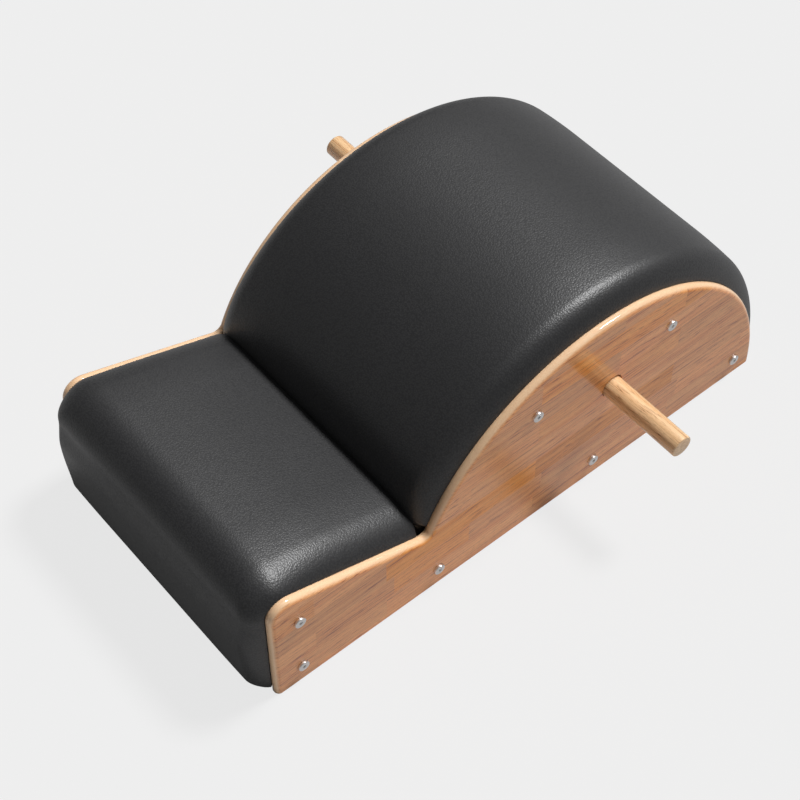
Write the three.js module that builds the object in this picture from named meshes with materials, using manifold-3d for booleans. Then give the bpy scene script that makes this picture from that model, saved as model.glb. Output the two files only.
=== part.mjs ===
import * as THREE from "three";
import { mergeVertices } from "three/addons/utils/BufferGeometryUtils.js";
import Module from "manifold-3d";

// A pilates spine corrector: a low sloping step that runs into a half-round barrel.
// Two wooden side panels are bolted to seven cross rails. The rails carry three boards,
// and the boards carry two upholstered pads, each a foam body under a leathercloth cover.
// A loose handle rod passes through both panels.
// Sizes are in millimetres. X runs from the step end to the barrel end, Y runs across
// from the right side to the left side, and Z is up, with the floor at zero.

// Side panels
const panelLength = 800;
const panelThickness = 15;
const overallWidth = 424;
const archRadius = 294;
const stepHeight = 188;
const stepSlope = THREE.MathUtils.degToRad(18.9);
const frontCornerRadius = 25;
const creaseRadius = 10;
const rimRound = 7;

// Cross rails
const railSize = 30;
const archRailDepth = 50;
const frontArchTilt = THREE.MathUtils.degToRad(27.2);
const rearArchTilt = THREE.MathUtils.degToRad(28.1);
const railEase = 2;
const railLift = 14.5;
const cleatSize = 25;

// Boards, and how far their upholstered faces lie under the panels' rim
const boardThickness = 12;
const topSeat = 18;
const frontSeat = 12;
const frontBoardLift = 10;

// Pads: crowns over the rim, shoulders along the panels, and the round ends near the floor
const barrelCrown = 30;
const barrelTail = 2.5;
const barrelRise = 2.4;
const barrelShoulder = 42;
const stepCrown = 19.5;
const stepRise = 5.5;
const stepShoulder = 24;
const frontCrown = 21.5;
const frontBelly = 6.5;
const frontBellyHeight = 100;
const frontRise = 0.5;
const shoulderLean = THREE.MathUtils.degToRad(18);
const padSwell = 4.6;
const padLift = 2;
const padEndRound = 22;
const lipEndRound = 5;
const coverThickness = 1.6;
const coverShort = 2;

// The crease: how far the barrel pad is drawn in and the step pad rolls over
const creaseDraw = 15;
const creaseReach = 80;
const creaseBack = 14;
const creaseRoll = 12;
const creaseSink = 7;
const creaseFade = 14;

// Handle rod
const rodRadius = 15;
const rodOut = 120;
const rodEase = 1.5;
const rodClearance = 1.5;
const rodHoleX = 524;
const rodHoleZ = 166.6;

// Connector bolts and threaded inserts
const boltHeadRadius = 7.7;
const boltHeadHeight = 3;
const boltEase = 0.7;
const boltShankRadius = 3;
const boltReach = 30;
const socketAcross = 4.6;
const socketDepth = 2;
const insertWall = 1.7;
const insertLength = 22;
const insertSink = 0.5;
const railHoleDepth = 36;

// Clearances
const gap = 0.3;
const softGap = 0.8;
const panelHoleClearance = 0.5;
const boltInsertClearance = 0.35;
const insertRailClearance = 0.3;
const overrun = 12;
const weld = 1e-3;

// Fineness of the round forms
const archSteps = 42;
const cornerSteps = 6;
const creaseSteps = 3;
const rimSteps = 3;
const holeSides = 12;
const rodSides = 28;
const boltSides = 16;
const padArchSteps = 28;
const padInnerSteps = 16;
const padEndSteps = 4;
const padFrontSteps = 4;
const padNoseSteps = 6;
const padRollSteps = 3;
const padLipSteps = 2;
const padShoulderSteps = 4;
const padCrownSteps = 2;

// Sizes that follow from the values above
const innerWidth = overallWidth - 2 * panelThickness;
const railWidth = innerWidth - 2 * gap;
const boardWidth = innerWidth - 2 * (softGap + coverThickness + gap);
const archX = panelLength - archRadius;
const barrelBoardOuter = archRadius - topSeat;
const barrelBoardInner = barrelBoardOuter - boardThickness;
const rodHoleRadius = rodRadius + rodClearance;
const rodZ = rodHoleZ - rodClearance + gap;
const rodLength = overallWidth + 2 * rodOut;
const insertBore = boltShankRadius + boltInsertClearance;
const insertRadius = insertBore + insertWall;
const foamInset = coverThickness + gap;

const slopeStart = new THREE.Vector2(0, stepHeight);
const downSlope = new THREE.Vector2(Math.cos(stepSlope), -Math.sin(stepSlope));
const outOfSlope = new THREE.Vector2(Math.sin(stepSlope), Math.cos(stepSlope));
const archCentre = new THREE.Vector2(archX, 0);

const wasm = await Module();
wasm.setup();

// The height over the floor, at x, of a line parallel to the slope and a depth under it.
function slopeHeight(x, depth) {
  return stepHeight - x * Math.tan(stepSlope) - depth / Math.cos(stepSlope);
}

// Where a line a depth under the slope first meets a circle about the arch's centre.
function slopeMeetsArch(depth, radius) {
  const start = slopeStart.clone().addScaledVector(outOfSlope, -depth);
  const fromCentre = start.clone().sub(archCentre);
  const along = -fromCentre.dot(downSlope);
  const run = along - Math.sqrt(along ** 2 - fromCentre.lengthSq() + radius ** 2);
  return start.addScaledVector(downSlope, run);
}

// A place at an angle and a distance about a centre.
function around(centre, angle, distance) {
  const outward = new THREE.Vector2(Math.cos(angle), Math.sin(angle));
  return centre.clone().addScaledVector(outward, distance);
}

// Points along a round stretch, both ends included.
function arc(centre, radius, from, to, steps) {
  return Array.from({ length: steps + 1 }, (_, i) => {
    return around(centre, from + ((to - from) * i) / steps, radius);
  });
}

// An outline whose corners are cut back by an ease along both sides.
function eased(corners, ease) {
  return corners.flatMap((corner, i) => {
    const beside = [corners.at(i - 1), corners[(i + 1) % corners.length]];
    return beside.map((other) => corner.clone().add(other.clone().sub(corner).setLength(ease)));
  });
}

// A closed geometry as a solid that can be cut and joined.
function solidOf(geometry) {
  const bare = geometry.clone();
  bare.deleteAttribute("normal");
  bare.deleteAttribute("uv");
  const merged = mergeVertices(bare, weld);
  const corners = merged.index.array;
  const triVerts = [];
  for (let i = 0; i < corners.length; i += 3) {
    const [a, b, c] = [corners[i], corners[i + 1], corners[i + 2]];
    if (a !== b && b !== c && c !== a) triVerts.push(a, b, c);
  }
  return new wasm.Manifold(
    new wasm.Mesh({
      numProp: 3,
      vertProperties: merged.attributes.position.array,
      triVerts: new Uint32Array(triVerts),
    }),
  );
}

// A solid as a geometry again.
function geometryOf(solid) {
  const mesh = solid.getMesh();
  const geometry = new THREE.BufferGeometry();
  geometry.setAttribute("position", new THREE.BufferAttribute(mesh.vertProperties, 3));
  geometry.setIndex(new THREE.BufferAttribute(mesh.triVerts, 1));
  geometry.computeVertexNormals();
  return geometry;
}

// An outline in X and Z, drawn out across a width that is centred on Y zero.
function across(outline, width, round = 0) {
  const geometry = new THREE.ExtrudeGeometry(new THREE.Shape(outline), {
    depth: width - 2 * round,
    bevelEnabled: round > 0,
    bevelThickness: round,
    bevelSize: round,
    bevelOffset: -round,
    bevelSegments: rimSteps,
  });
  geometry.rotateX(Math.PI / 2);
  geometry.translate(0, width / 2 - round, 0);
  return geometry;
}

// A round bar along Y, about a place.
function bar(radius, length, sides, x, y, z) {
  const geometry = new THREE.CylinderGeometry(radius, radius, length, sides);
  geometry.translate(x, y, z);
  return solidOf(geometry);
}

// The middle of the front corner's round, which touches the front end and the slope.
function frontCornerCentre() {
  return new THREE.Vector2(frontCornerRadius, slopeHeight(frontCornerRadius, frontCornerRadius));
}

// The panel's outline: front end, corner, slope, crease, arch, and a spare strip below the floor.
function panelOutline() {
  const spare = -(overrun + rimRound);
  const slopeAngle = outOfSlope.angle();
  const creaseCentre = slopeMeetsArch(-creaseRadius, archRadius + creaseRadius);
  const archEnd = creaseCentre.clone().sub(archCentre).angle();
  return [
    new THREE.Vector2(0, spare),
    ...arc(frontCornerCentre(), frontCornerRadius, Math.PI, slopeAngle, cornerSteps),
    ...arc(creaseCentre, creaseRadius, slopeAngle - Math.PI, archEnd - Math.PI, creaseSteps),
    ...arc(archCentre, archRadius, archEnd, 0, archSteps).slice(1),
    new THREE.Vector2(panelLength, spare),
  ];
}

// The cross rails: their places, depths and tilts.
function railPlan() {
  const half = railSize / 2;
  const baseZ = railLift + half;
  const frontX = frontSeat + boardThickness + gap + half;
  const noseZ = slopeHeight(frontX, topSeat + boardThickness + gap) - half;
  const footX = Math.sqrt(barrelBoardOuter ** 2 - (railLift + railSize) ** 2) - half;
  const deepRadius = Math.sqrt((barrelBoardInner - gap) ** 2 - half ** 2) - archRailDepth / 2;
  const upright = Math.PI / 2;
  const frontArch = around(archCentre, upright + frontArchTilt, deepRadius);
  const rearArch = around(archCentre, upright - rearArchTilt, deepRadius);
  const square = { depth: railSize, tilt: 0, planed: false };
  const deep = { depth: archRailDepth, planed: false };
  return [
    { ...square, name: "front_lower", x: frontX, z: baseZ },
    { ...square, name: "nose", x: frontX, z: noseZ, planed: true },
    { ...square, name: "front_foot", x: archX - footX, z: baseZ },
    { ...square, name: "middle", x: archX, z: baseZ },
    { ...square, name: "rear_foot", x: archX + footX, z: baseZ },
    { ...deep, name: "front_arch", x: frontArch.x, z: frontArch.y, tilt: -frontArchTilt },
    { ...deep, name: "rear_arch", x: rearArch.x, z: rearArch.y, tilt: rearArchTilt },
  ];
}

const rails = railPlan();

// A side panel, with a hole for each bolt and a larger one for the rod.
function sidePanel() {
  const spare = overrun + rimRound;
  const under = new THREE.BoxGeometry(panelLength + 2 * overrun, 2 * panelThickness, 2 * spare);
  under.translate(panelLength / 2, 0, -spare);
  let panel = solidOf(across(panelOutline(), panelThickness, rimRound)).subtract(solidOf(under));
  for (const { x, z } of rails) {
    const radius = boltShankRadius + panelHoleClearance;
    panel = panel.subtract(bar(radius, 2 * panelThickness, holeSides, x, 0, z));
  }
  panel = panel.subtract(bar(rodHoleRadius, 2 * panelThickness, rodSides, rodHoleX, 0, rodHoleZ));
  return geometryOf(panel);
}

// A cross rail about its own axis, with a blind hole in each end for the insert.
// The nose rail's top is planed to the step board's slope.
function crossRail({ depth, planed }) {
  const half = railSize / 2;
  const rise = planed ? half * Math.tan(stepSlope) : 0;
  const corners = [
    new THREE.Vector2(-half, -depth / 2),
    new THREE.Vector2(half, -depth / 2),
    new THREE.Vector2(half, depth / 2 - rise),
    new THREE.Vector2(-half, depth / 2 + rise),
  ];
  let rail = solidOf(across(eased(corners, railEase), railWidth));
  for (const end of [-railWidth / 2, railWidth / 2]) {
    const radius = insertRadius + insertRailClearance;
    rail = rail.subtract(bar(radius, 2 * railHoleDepth, holeSides, 0, end, 0));
  }
  return geometryOf(rail);
}

// The barrel board: plies bent to a half round, which stand on the two foot rails.
function barrelBoard() {
  const foot = railLift + railSize + gap;
  const outer = Math.asin(foot / barrelBoardOuter);
  const inner = Math.asin(foot / barrelBoardInner);
  const outline = [
    ...arc(archCentre, barrelBoardOuter, outer, Math.PI - outer, archSteps),
    ...arc(archCentre, barrelBoardInner, Math.PI - inner, inner, archSteps),
  ];
  return across(outline, boardWidth);
}

// The step board: it lies on the nose rail and butts against the barrel board.
function stepBoard() {
  const butt = barrelBoardOuter + gap;
  const underside = topSeat + boardThickness;
  const outline = [
    new THREE.Vector2(frontSeat, slopeHeight(frontSeat, underside)),
    slopeMeetsArch(underside, butt),
    slopeMeetsArch(topSeat, butt),
    new THREE.Vector2(frontSeat, slopeHeight(frontSeat, topSeat)),
  ];
  return across(outline, boardWidth);
}

// The front board: it stands against the two front rails, under the step board.
function frontBoard() {
  const back = frontSeat + boardThickness;
  const top = topSeat + boardThickness + gap;
  const outline = [
    new THREE.Vector2(frontSeat, frontBoardLift),
    new THREE.Vector2(back, frontBoardLift),
    new THREE.Vector2(back, slopeHeight(back, top)),
    new THREE.Vector2(frontSeat, slopeHeight(frontSeat, top)),
  ];
  return across(outline, boardWidth);
}

// The cleat: a wedge on the barrel board, which holds the step board's lower end up.
function stepCleat() {
  const face = barrelBoardOuter + gap;
  const corner = slopeMeetsArch(topSeat + boardThickness + gap, face);
  const angle = corner.clone().sub(archCentre).angle();
  const tip = corner.clone().addScaledVector(downSlope, -cleatSize);
  const outline = [tip, ...arc(archCentre, face, angle + cleatSize / face, angle, creaseSteps)];
  return across(outline, boardWidth);
}

// Distances from a pad's end that follow its round, from the end inwards.
function endDistances() {
  return Array.from({ length: padEndSteps + 1 }, (_, i) => {
    return padEndRound * (1 - Math.cos(((Math.PI / 2) * i) / padEndSteps));
  });
}

// The share of its height that a pad has at a distance from its end, which is rounded.
function endFullness(distance, round) {
  return Math.sqrt(1 - Math.max(0, 1 - distance / round) ** 2);
}

// The share of its belly that the front face has at a height: none at the floor and the nose.
function bellyShare(z) {
  const nose = frontCornerCentre().y;
  const way = z < frontBellyHeight ? z / frontBellyHeight : (nose - z) / (nose - frontBellyHeight);
  return (1 - Math.cos(Math.PI * way)) / 2;
}

// The share of its swell that a pad has at a distance from the crease.
function creaseSwell(distance) {
  return THREE.MathUtils.clamp((distance - creaseFade) / creaseFade, 0, 1);
}

// The stations of the step pad: up the front end, round the nose and down the slope.
// Each has a place on the rim's line, the angle that its heights take, and its bed's place.
function stepPadStations(inset, drop) {
  const bottom = padLift + inset;
  const back = frontSeat + drop;
  const slope = { crown: stepCrown, rise: stepRise };
  const heights = endDistances().map((distance) => bottom + distance);
  for (let i = 1; i < padFrontSteps; i++) {
    const start = bottom + padEndRound;
    heights.push(THREE.MathUtils.lerp(start, frontCornerCentre().y, i / padFrontSteps));
  }
  const stations = heights.map((z) => ({
    crown: frontCrown + frontBelly * bellyShare(z),
    rise: frontRise,
    full: endFullness(z - bottom, padEndRound),
    swell: endFullness(z - bottom, lipEndRound),
    place: new THREE.Vector2(0, z),
    bed: new THREE.Vector2(back, z),
    angle: Math.PI,
  }));

  const bedCorner = new THREE.Vector2(back, slopeHeight(back, topSeat + drop));
  const slopeAngle = outOfSlope.angle();
  const nose = arc(frontCornerCentre(), frontCornerRadius, Math.PI, slopeAngle, padNoseSteps);
  nose.forEach((place, i) => {
    const share = i / padNoseSteps;
    const angle = THREE.MathUtils.lerp(Math.PI, slopeAngle, share);
    const blend = THREE.MathUtils.smoothstep(share, 0, 1);
    const crown = THREE.MathUtils.lerp(frontCrown, stepCrown, blend);
    const rise = THREE.MathUtils.lerp(frontRise, stepRise, blend);
    stations.push({ crown, rise, full: 1, swell: 1, place, bed: bedCorner, angle });
  });

  const crease = slopeMeetsArch(0, archRadius);
  const addOnSlope = (run, sink) => {
    const place = crease.clone().addScaledVector(downSlope, run);
    const bed = place.clone().addScaledVector(outOfSlope, -(topSeat + drop));
    const full = 1 - sink / (stepCrown + stepRise);
    stations.push({ ...slope, full, swell: creaseSwell(-run), place, bed, angle: slopeAngle });
  };
  const rollStart = -(creaseBack + creaseRoll);
  addOnSlope(2 * rollStart, 0);
  for (let i = 0; i <= padRollSteps; i++) {
    const turn = ((Math.PI / 2) * i) / padRollSteps;
    addOnSlope(rollStart + creaseRoll * Math.sin(turn), creaseSink * (1 - Math.cos(turn)));
  }
  addOnSlope(0, creaseSink);
  addOnSlope(2 * topSeat, creaseSink);
  return stations;
}

// The stations of the barrel pad: from under the crease over the arch to the rear end.
function barrelPadStations(inset, drop) {
  const crease = slopeMeetsArch(0, archRadius).sub(archCentre).angle();
  const end = (padLift + inset) / archRadius;
  const round = padEndRound / archRadius;
  const fade = creaseFade / archRadius;
  const under = (2 * topSeat) / archRadius;
  const steps = inset > 0 ? padInnerSteps : padArchSteps;
  const angles = [crease + under, crease];
  for (let i = 0; i < creaseSteps; i++) {
    angles.push(crease - fade * (1 + i / creaseSteps));
  }
  for (let i = 0; i <= steps; i++) {
    angles.push(THREE.MathUtils.lerp(crease - 2 * fade, end + round, i / steps));
  }
  const ends = endDistances().reverse().slice(1);
  angles.push(...ends.map((distance) => end + distance / archRadius));
  return angles.map((angle) => {
    const fromCrease = (crease - angle) * archRadius;
    const reached = THREE.MathUtils.clamp((fromCrease - creaseBack) / creaseReach, 0, 1);
    const drawn = (creaseDraw * (1 - reached) ** 2) / (barrelCrown + barrelRise);
    const fromEnd = (angle - end) * archRadius;
    return {
      crown: barrelCrown + barrelTail * Math.max(0, Math.cos(angle)) ** 2,
      rise: barrelRise,
      full: endFullness(fromEnd, padEndRound) * (1 - drawn),
      swell: endFullness(fromEnd, lipEndRound) * creaseSwell(fromCrease),
      place: around(archCentre, angle, archRadius),
      bed: around(archCentre, angle, barrelBoardOuter - drop),
      angle,
    };
  });
}

// A pad's section at a station, as places across and heights over the rim's line.
// It runs from the bed up one side, over the lip, the shoulder and the crown, and down again.
function padSection(station, shoulder, inset) {
  const wall = innerWidth / 2 - softGap - inset;
  const lipRadius = rimRound + softGap + inset;
  const lipTurn = station.swell * Math.acos(1 - padSwell / lipRadius);
  const half = [[wall, -station.place.distanceTo(station.bed)]];
  for (let i = 0; i <= padLipSteps; i++) {
    const turn = (lipTurn * i) / padLipSteps;
    half.push([wall + lipRadius * (1 - Math.cos(turn)), lipRadius * Math.sin(turn) - rimRound]);
  }
  const [lipY, lipHeight] = half.at(-1);
  const top = station.full * station.crown - inset;
  const flat = lipY - shoulder;
  const reach = shoulder / Math.cos(shoulderLean);
  const drop = (top - lipHeight) / (1 - Math.sin(shoulderLean));
  for (let i = 1; i <= padShoulderSteps; i++) {
    const turn = THREE.MathUtils.lerp(shoulderLean, Math.PI / 2, i / padShoulderSteps);
    half.push([flat + reach * Math.cos(turn), top - drop * (1 - Math.sin(turn))]);
  }
  for (let i = 1; i <= padCrownSteps; i++) {
    const left = 1 - i / padCrownSteps;
    half.push([flat * left, top + station.full * station.rise * (1 - left ** 2)]);
  }
  const other = half.slice(0, -1).reverse();
  return [...half, ...other.map(([y, height]) => [-y, height])];
}

// A closed body drawn through rings of equally many points, with a flat cap at each end.
function loft(rings, caps) {
  const count = rings[0].length;
  const index = [];
  for (let start = 0; start < (rings.length - 1) * count; start += count) {
    for (let j = 0; j < count; j++) {
      const a = start + j;
      const b = start + ((j + 1) % count);
      index.push(a, b, a + count, b, b + count, a + count);
    }
  }
  const last = (rings.length - 1) * count;
  const [firstCap, lastCap] = caps.map((flat) => {
    const contour = flat.map(([y, height]) => new THREE.Vector2(y, height));
    return THREE.ShapeUtils.triangulateShape(contour, []);
  });
  firstCap.forEach(([a, b, c]) => index.push(c, b, a));
  lastCap.forEach(([a, b, c]) => index.push(last + a, last + b, last + c));
  const geometry = new THREE.BufferGeometry();
  geometry.setAttribute("position", new THREE.Float32BufferAttribute(rings.flat(2), 3));
  geometry.setIndex(index);
  return geometry;
}

// A pad's body, with its skin moved in by an inset and its bed let down by a drop.
function padBody(pad, inset, drop) {
  const stations = pad.stations(inset, drop);
  const sections = stations.map((station) => padSection(station, pad.shoulder, inset));
  const rings = sections.map((section, i) => {
    const { place, bed, angle } = stations[i];
    const ring = section.map(([y, height]) => {
      return [place.x + height * Math.cos(angle), y, place.y + height * Math.sin(angle)];
    });
    ring[0] = [bed.x, section[0][0], bed.y];
    ring[ring.length - 1] = [bed.x, section.at(-1)[0], bed.y];
    return ring;
  });
  return solidOf(loft(rings, [sections[0], sections.at(-1)]));
}

const barrelPad = { stations: barrelPadStations, shoulder: barrelShoulder };
const stepPad = { stations: stepPadStations, shoulder: stepShoulder };

// The room that the barrel pad and its board take, grown on all sides.
function barrelPadRoom(room) {
  return padBody(barrelPad, -room, boardThickness + overrun);
}

// The room behind the front board's face and under the step board's, over a width.
function stepBed(width) {
  const front = frontSeat - gap;
  const top = topSeat - gap;
  const below = slopeHeight(panelLength, top);
  const outline = [
    new THREE.Vector2(front, below),
    new THREE.Vector2(panelLength, below),
    new THREE.Vector2(front, slopeHeight(front, top)),
  ];
  return solidOf(across(outline, width));
}

// The room that the barrel board goes round, with the board's own.
function barrelBed() {
  const below = overrun / barrelBoardOuter;
  const outline = arc(archCentre, barrelBoardOuter + gap, -below, Math.PI + below, archSteps);
  return solidOf(across(outline, overallWidth));
}

// The room that a rail takes, grown on all sides.
function railRoom(name) {
  const { x, z, depth } = rails.find((rail) => rail.name === name);
  const room = new THREE.BoxGeometry(railSize + 2 * gap, overallWidth, depth + 2 * gap);
  room.translate(x, 0, z);
  return solidOf(room);
}

// A pad's cover is a skin, open towards the boards, that reaches down beside them.
function coverSkin(pad) {
  return padBody(pad, 0, boardThickness - coverShort);
}

// What a pad's cover is hollowed by.
function coverHollow(pad) {
  return padBody(pad, coverThickness, boardThickness + overrun);
}

function barrelCover() {
  const skin = coverSkin(barrelPad).subtract(stepBed(overallWidth)).subtract(railRoom("rear_foot"));
  return geometryOf(skin.subtract(coverHollow(barrelPad)));
}

function barrelFoam() {
  const foam = padBody(barrelPad, foamInset, boardThickness);
  return geometryOf(foam.subtract(stepBed(overallWidth)).subtract(barrelBed()));
}

function stepCover() {
  const skin = coverSkin(stepPad).subtract(barrelPadRoom(gap)).subtract(stepBed(boardWidth + gap));
  const hollow = coverHollow(stepPad).subtract(barrelPadRoom(gap + coverThickness));
  return geometryOf(skin.subtract(hollow));
}

function stepFoam() {
  const foam = padBody(stepPad, foamInset, boardThickness);
  return geometryOf(foam.subtract(stepBed(overallWidth)).subtract(barrelPadRoom(gap + foamInset)));
}

// The handle rod, with both ends eased.
function handleRod() {
  const half = rodLength / 2;
  const profile = [
    new THREE.Vector2(0, -half),
    new THREE.Vector2(rodRadius - rodEase, -half),
    new THREE.Vector2(rodRadius, rodEase - half),
    new THREE.Vector2(rodRadius, half - rodEase),
    new THREE.Vector2(rodRadius - rodEase, half),
    new THREE.Vector2(0, half),
  ];
  return new THREE.LatheGeometry(profile, rodSides);
}

// A connector bolt: a flat head with a hex socket, at Y zero, and a shank along Y.
function connectorBolt() {
  const reach = panelThickness + gap + boltReach;
  const profile = [
    new THREE.Vector2(0, -boltHeadHeight),
    new THREE.Vector2(boltHeadRadius - boltEase, -boltHeadHeight),
    new THREE.Vector2(boltHeadRadius, boltEase - boltHeadHeight),
    new THREE.Vector2(boltHeadRadius, 0),
    new THREE.Vector2(boltShankRadius, 0),
    new THREE.Vector2(boltShankRadius, reach),
    new THREE.Vector2(0, reach),
  ];
  const bolt = solidOf(new THREE.LatheGeometry(profile, boltSides));
  const socket = bar(socketAcross / Math.sqrt(3), 2 * socketDepth, 6, 0, -boltHeadHeight, 0);
  return geometryOf(bolt.subtract(socket));
}

// A threaded insert: a short tube, from Y zero into the rail.
function threadedInsert() {
  const profile = [
    new THREE.Vector2(insertBore, 0),
    new THREE.Vector2(insertRadius, 0),
    new THREE.Vector2(insertRadius, insertLength),
    new THREE.Vector2(insertBore, insertLength),
    new THREE.Vector2(insertBore, 0),
  ];
  return new THREE.LatheGeometry(profile, boltSides);
}

const finishes = {
  panelWood: { color: 0xb98f70, roughness: 0.35, metalness: 0 },
  rodWood: { color: 0xc79a6c, roughness: 0.3, metalness: 0 },
  railWood: { color: 0xc9a67c, roughness: 0.6, metalness: 0 },
  plywood: { color: 0xcdb08a, roughness: 0.6, metalness: 0 },
  foam: { color: 0xd8d2c0, roughness: 0.95, metalness: 0 },
  leathercloth: { color: 0x303031, roughness: 0.5, metalness: 0 },
  plating: { color: 0xc8c9ca, roughness: 0.3, metalness: 1 },
  zinc: { color: 0x9c9a92, roughness: 0.45, metalness: 1 },
};

// A named piece with a finish of its own, at a place in its group.
function piece(name, geometry, finish, x = 0, y = 0, z = 0) {
  const mesh = new THREE.Mesh(geometry, new THREE.MeshStandardMaterial(finishes[finish]));
  mesh.name = name;
  mesh.position.set(x, y, z);
  return mesh;
}

// The two panels, each with its row of bolts and the inserts that they screw into.
function sides() {
  const group = new THREE.Group();
  const panel = sidePanel();
  const bolt = connectorBolt();
  const insert = threadedInsert();
  const panelY = (overallWidth - panelThickness) / 2;
  for (const [side, turn, facing] of [["right", 0, -1], ["left", Math.PI, 1]]) {
    group.add(piece(`side_panel_${side}`, panel, "panelWood", 0, facing * panelY));
    for (const { name, x, z } of rails) {
      const boltY = facing * (overallWidth / 2 + gap);
      const insertY = facing * (railWidth / 2 - insertSink);
      const boltPiece = piece(`bolt_${name}_${side}`, bolt, "plating", x, boltY, z);
      const insertPiece = piece(`insert_${name}_${side}`, insert, "zinc", x, insertY, z);
      boltPiece.rotation.z = turn;
      insertPiece.rotation.z = turn;
      group.add(boltPiece, insertPiece);
    }
  }
  return group;
}

// The rails, boards and cleat between the panels.
function frame() {
  const group = new THREE.Group();
  for (const rail of rails) {
    const mesh = piece(`rail_${rail.name}`, crossRail(rail), "railWood", rail.x, 0, rail.z);
    mesh.rotation.y = rail.tilt;
    group.add(mesh);
  }
  group.add(piece("barrel_board", barrelBoard(), "plywood"));
  group.add(piece("step_board", stepBoard(), "plywood"));
  group.add(piece("front_board", frontBoard(), "plywood"));
  group.add(piece("step_cleat", stepCleat(), "railWood"));
  return group;
}

// The two pads, each a foam body in its cover.
function upholstery() {
  const group = new THREE.Group();
  group.add(piece("barrel_cover", barrelCover(), "leathercloth"));
  group.add(piece("barrel_foam", barrelFoam(), "foam"));
  group.add(piece("step_cover", stepCover(), "leathercloth"));
  group.add(piece("step_foam", stepFoam(), "foam"));
  return group;
}

// The whole object, moved so that the middle of its footprint lies at the origin.
const assembly = new THREE.Group();
assembly.add(sides(), frame(), upholstery());
assembly.add(piece("handle_rod", handleRod(), "rodWood", rodHoleX, 0, rodZ));
const middle = new THREE.Box3().setFromObject(assembly).getCenter(new THREE.Vector3());
assembly.position.set(-middle.x, -middle.y, 0);

const spineCorrector = new THREE.Group();
spineCorrector.add(assembly);

export default spineCorrector;
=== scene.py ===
# %% [markdown]
# # A pilates spine corrector
#
# The real object is two lacquered wooden side panels, held apart by cross rails, with two
# upholstered pads between them: a sloping step and a half-round barrel. A loose wooden rod goes
# through both panels as a handle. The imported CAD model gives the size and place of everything,
# so this file starts by loading it, and no piece of it is moved.

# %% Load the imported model
import math

import bmesh
import bpy
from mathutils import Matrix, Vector
from mathutils.geometry import delaunay_2d_cdt


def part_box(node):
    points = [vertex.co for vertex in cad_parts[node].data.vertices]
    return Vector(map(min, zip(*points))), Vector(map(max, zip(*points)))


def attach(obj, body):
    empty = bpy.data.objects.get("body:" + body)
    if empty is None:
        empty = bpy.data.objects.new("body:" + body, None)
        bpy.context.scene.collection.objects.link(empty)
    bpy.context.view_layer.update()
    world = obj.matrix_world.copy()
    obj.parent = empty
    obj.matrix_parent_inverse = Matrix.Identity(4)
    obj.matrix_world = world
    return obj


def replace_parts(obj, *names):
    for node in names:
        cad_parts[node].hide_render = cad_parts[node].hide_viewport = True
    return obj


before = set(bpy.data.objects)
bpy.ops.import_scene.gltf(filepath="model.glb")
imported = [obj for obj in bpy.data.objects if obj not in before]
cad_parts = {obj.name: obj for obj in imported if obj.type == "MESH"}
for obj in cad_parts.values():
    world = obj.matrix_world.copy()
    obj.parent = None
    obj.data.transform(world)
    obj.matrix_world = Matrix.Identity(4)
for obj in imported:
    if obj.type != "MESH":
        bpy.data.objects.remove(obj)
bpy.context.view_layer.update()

print("CAD nodes:", len(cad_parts))

# %% [markdown]
# ## Lengths
#
# A joiner measures this object from the front end of its panels, in millimetres, so the shapes
# below do too: X runs back from the front end, Y runs across from the middle, and Z is up from
# the floor. Blender wants metres in the model's own frame. One small function, `at`, turns the
# first into the second, and nothing else has to know where the origin lies.

# %% Lengths read from the model
mm = 0.001
panel_low, panel_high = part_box("side_panel_right")
front_end = panel_low.x

panel_length = (panel_high.x - panel_low.x) / mm
panel_thickness = (panel_high.y - panel_low.y) / mm
arch_radius = (panel_high.z - panel_low.z) / mm
overall_width = -2 * panel_low.y / mm
inner_width = overall_width - 2 * panel_thickness
arch_x = panel_length - arch_radius


def at(x, y, z):
    """A place in millimetres, from the panels' front end, as a place in the model's frame."""
    return Vector((x * mm + front_end, y * mm, z * mm))


print("Panel:", round(panel_length), "by", round(arch_radius), "by", round(panel_thickness), "mm")

# %% [markdown]
# ## The panels' outline
#
# Both panels and both pads follow one line: up the front end, round a corner, down the step's
# slope to the crease, and over the half round. It could be drawn as a curve by hand, but writing
# it as a few lengths, an angle and four round stretches keeps every curve exact however finely it
# is drawn. Everything that hugs the line, such as the pads' skins, is then a distance away from it.

# %% Lengths along the outline
step_height = 188
step_slope = math.radians(18.9)
front_corner_radius = 25
crease_radius = 10
rim_round = 7

slope_start = Vector((0, step_height))
down_slope = Vector((math.cos(step_slope), -math.sin(step_slope)))
out_of_slope = Vector((math.sin(step_slope), math.cos(step_slope)))
arch_centre = Vector((arch_x, 0))


def slope_meets_arch(depth, radius):
    """Where a line a depth under the slope first meets a circle about the arch's centre."""
    start = slope_start - depth * out_of_slope
    from_centre = start - arch_centre
    along = -from_centre.dot(down_slope)
    run = along - math.sqrt(along**2 - from_centre.length_squared + radius**2)
    return start + run * down_slope


def slope_height(x, depth):
    """The height, at x, of a line a depth under the slope."""
    return step_height - x * math.tan(step_slope) - depth / math.cos(step_slope)


def around(centre, angle, distance):
    """A place at an angle and a distance about a centre."""
    return centre + distance * Vector((math.cos(angle), math.sin(angle)))


def angle_of(vector):
    """The angle of a direction, counted up from the way to the rear."""
    return math.atan2(vector.y, vector.x)


def steps_between(first, last, count):
    """Evenly spaced values, both ends included."""
    return [first + (last - first) * i / count for i in range(count + 1)]


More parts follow.
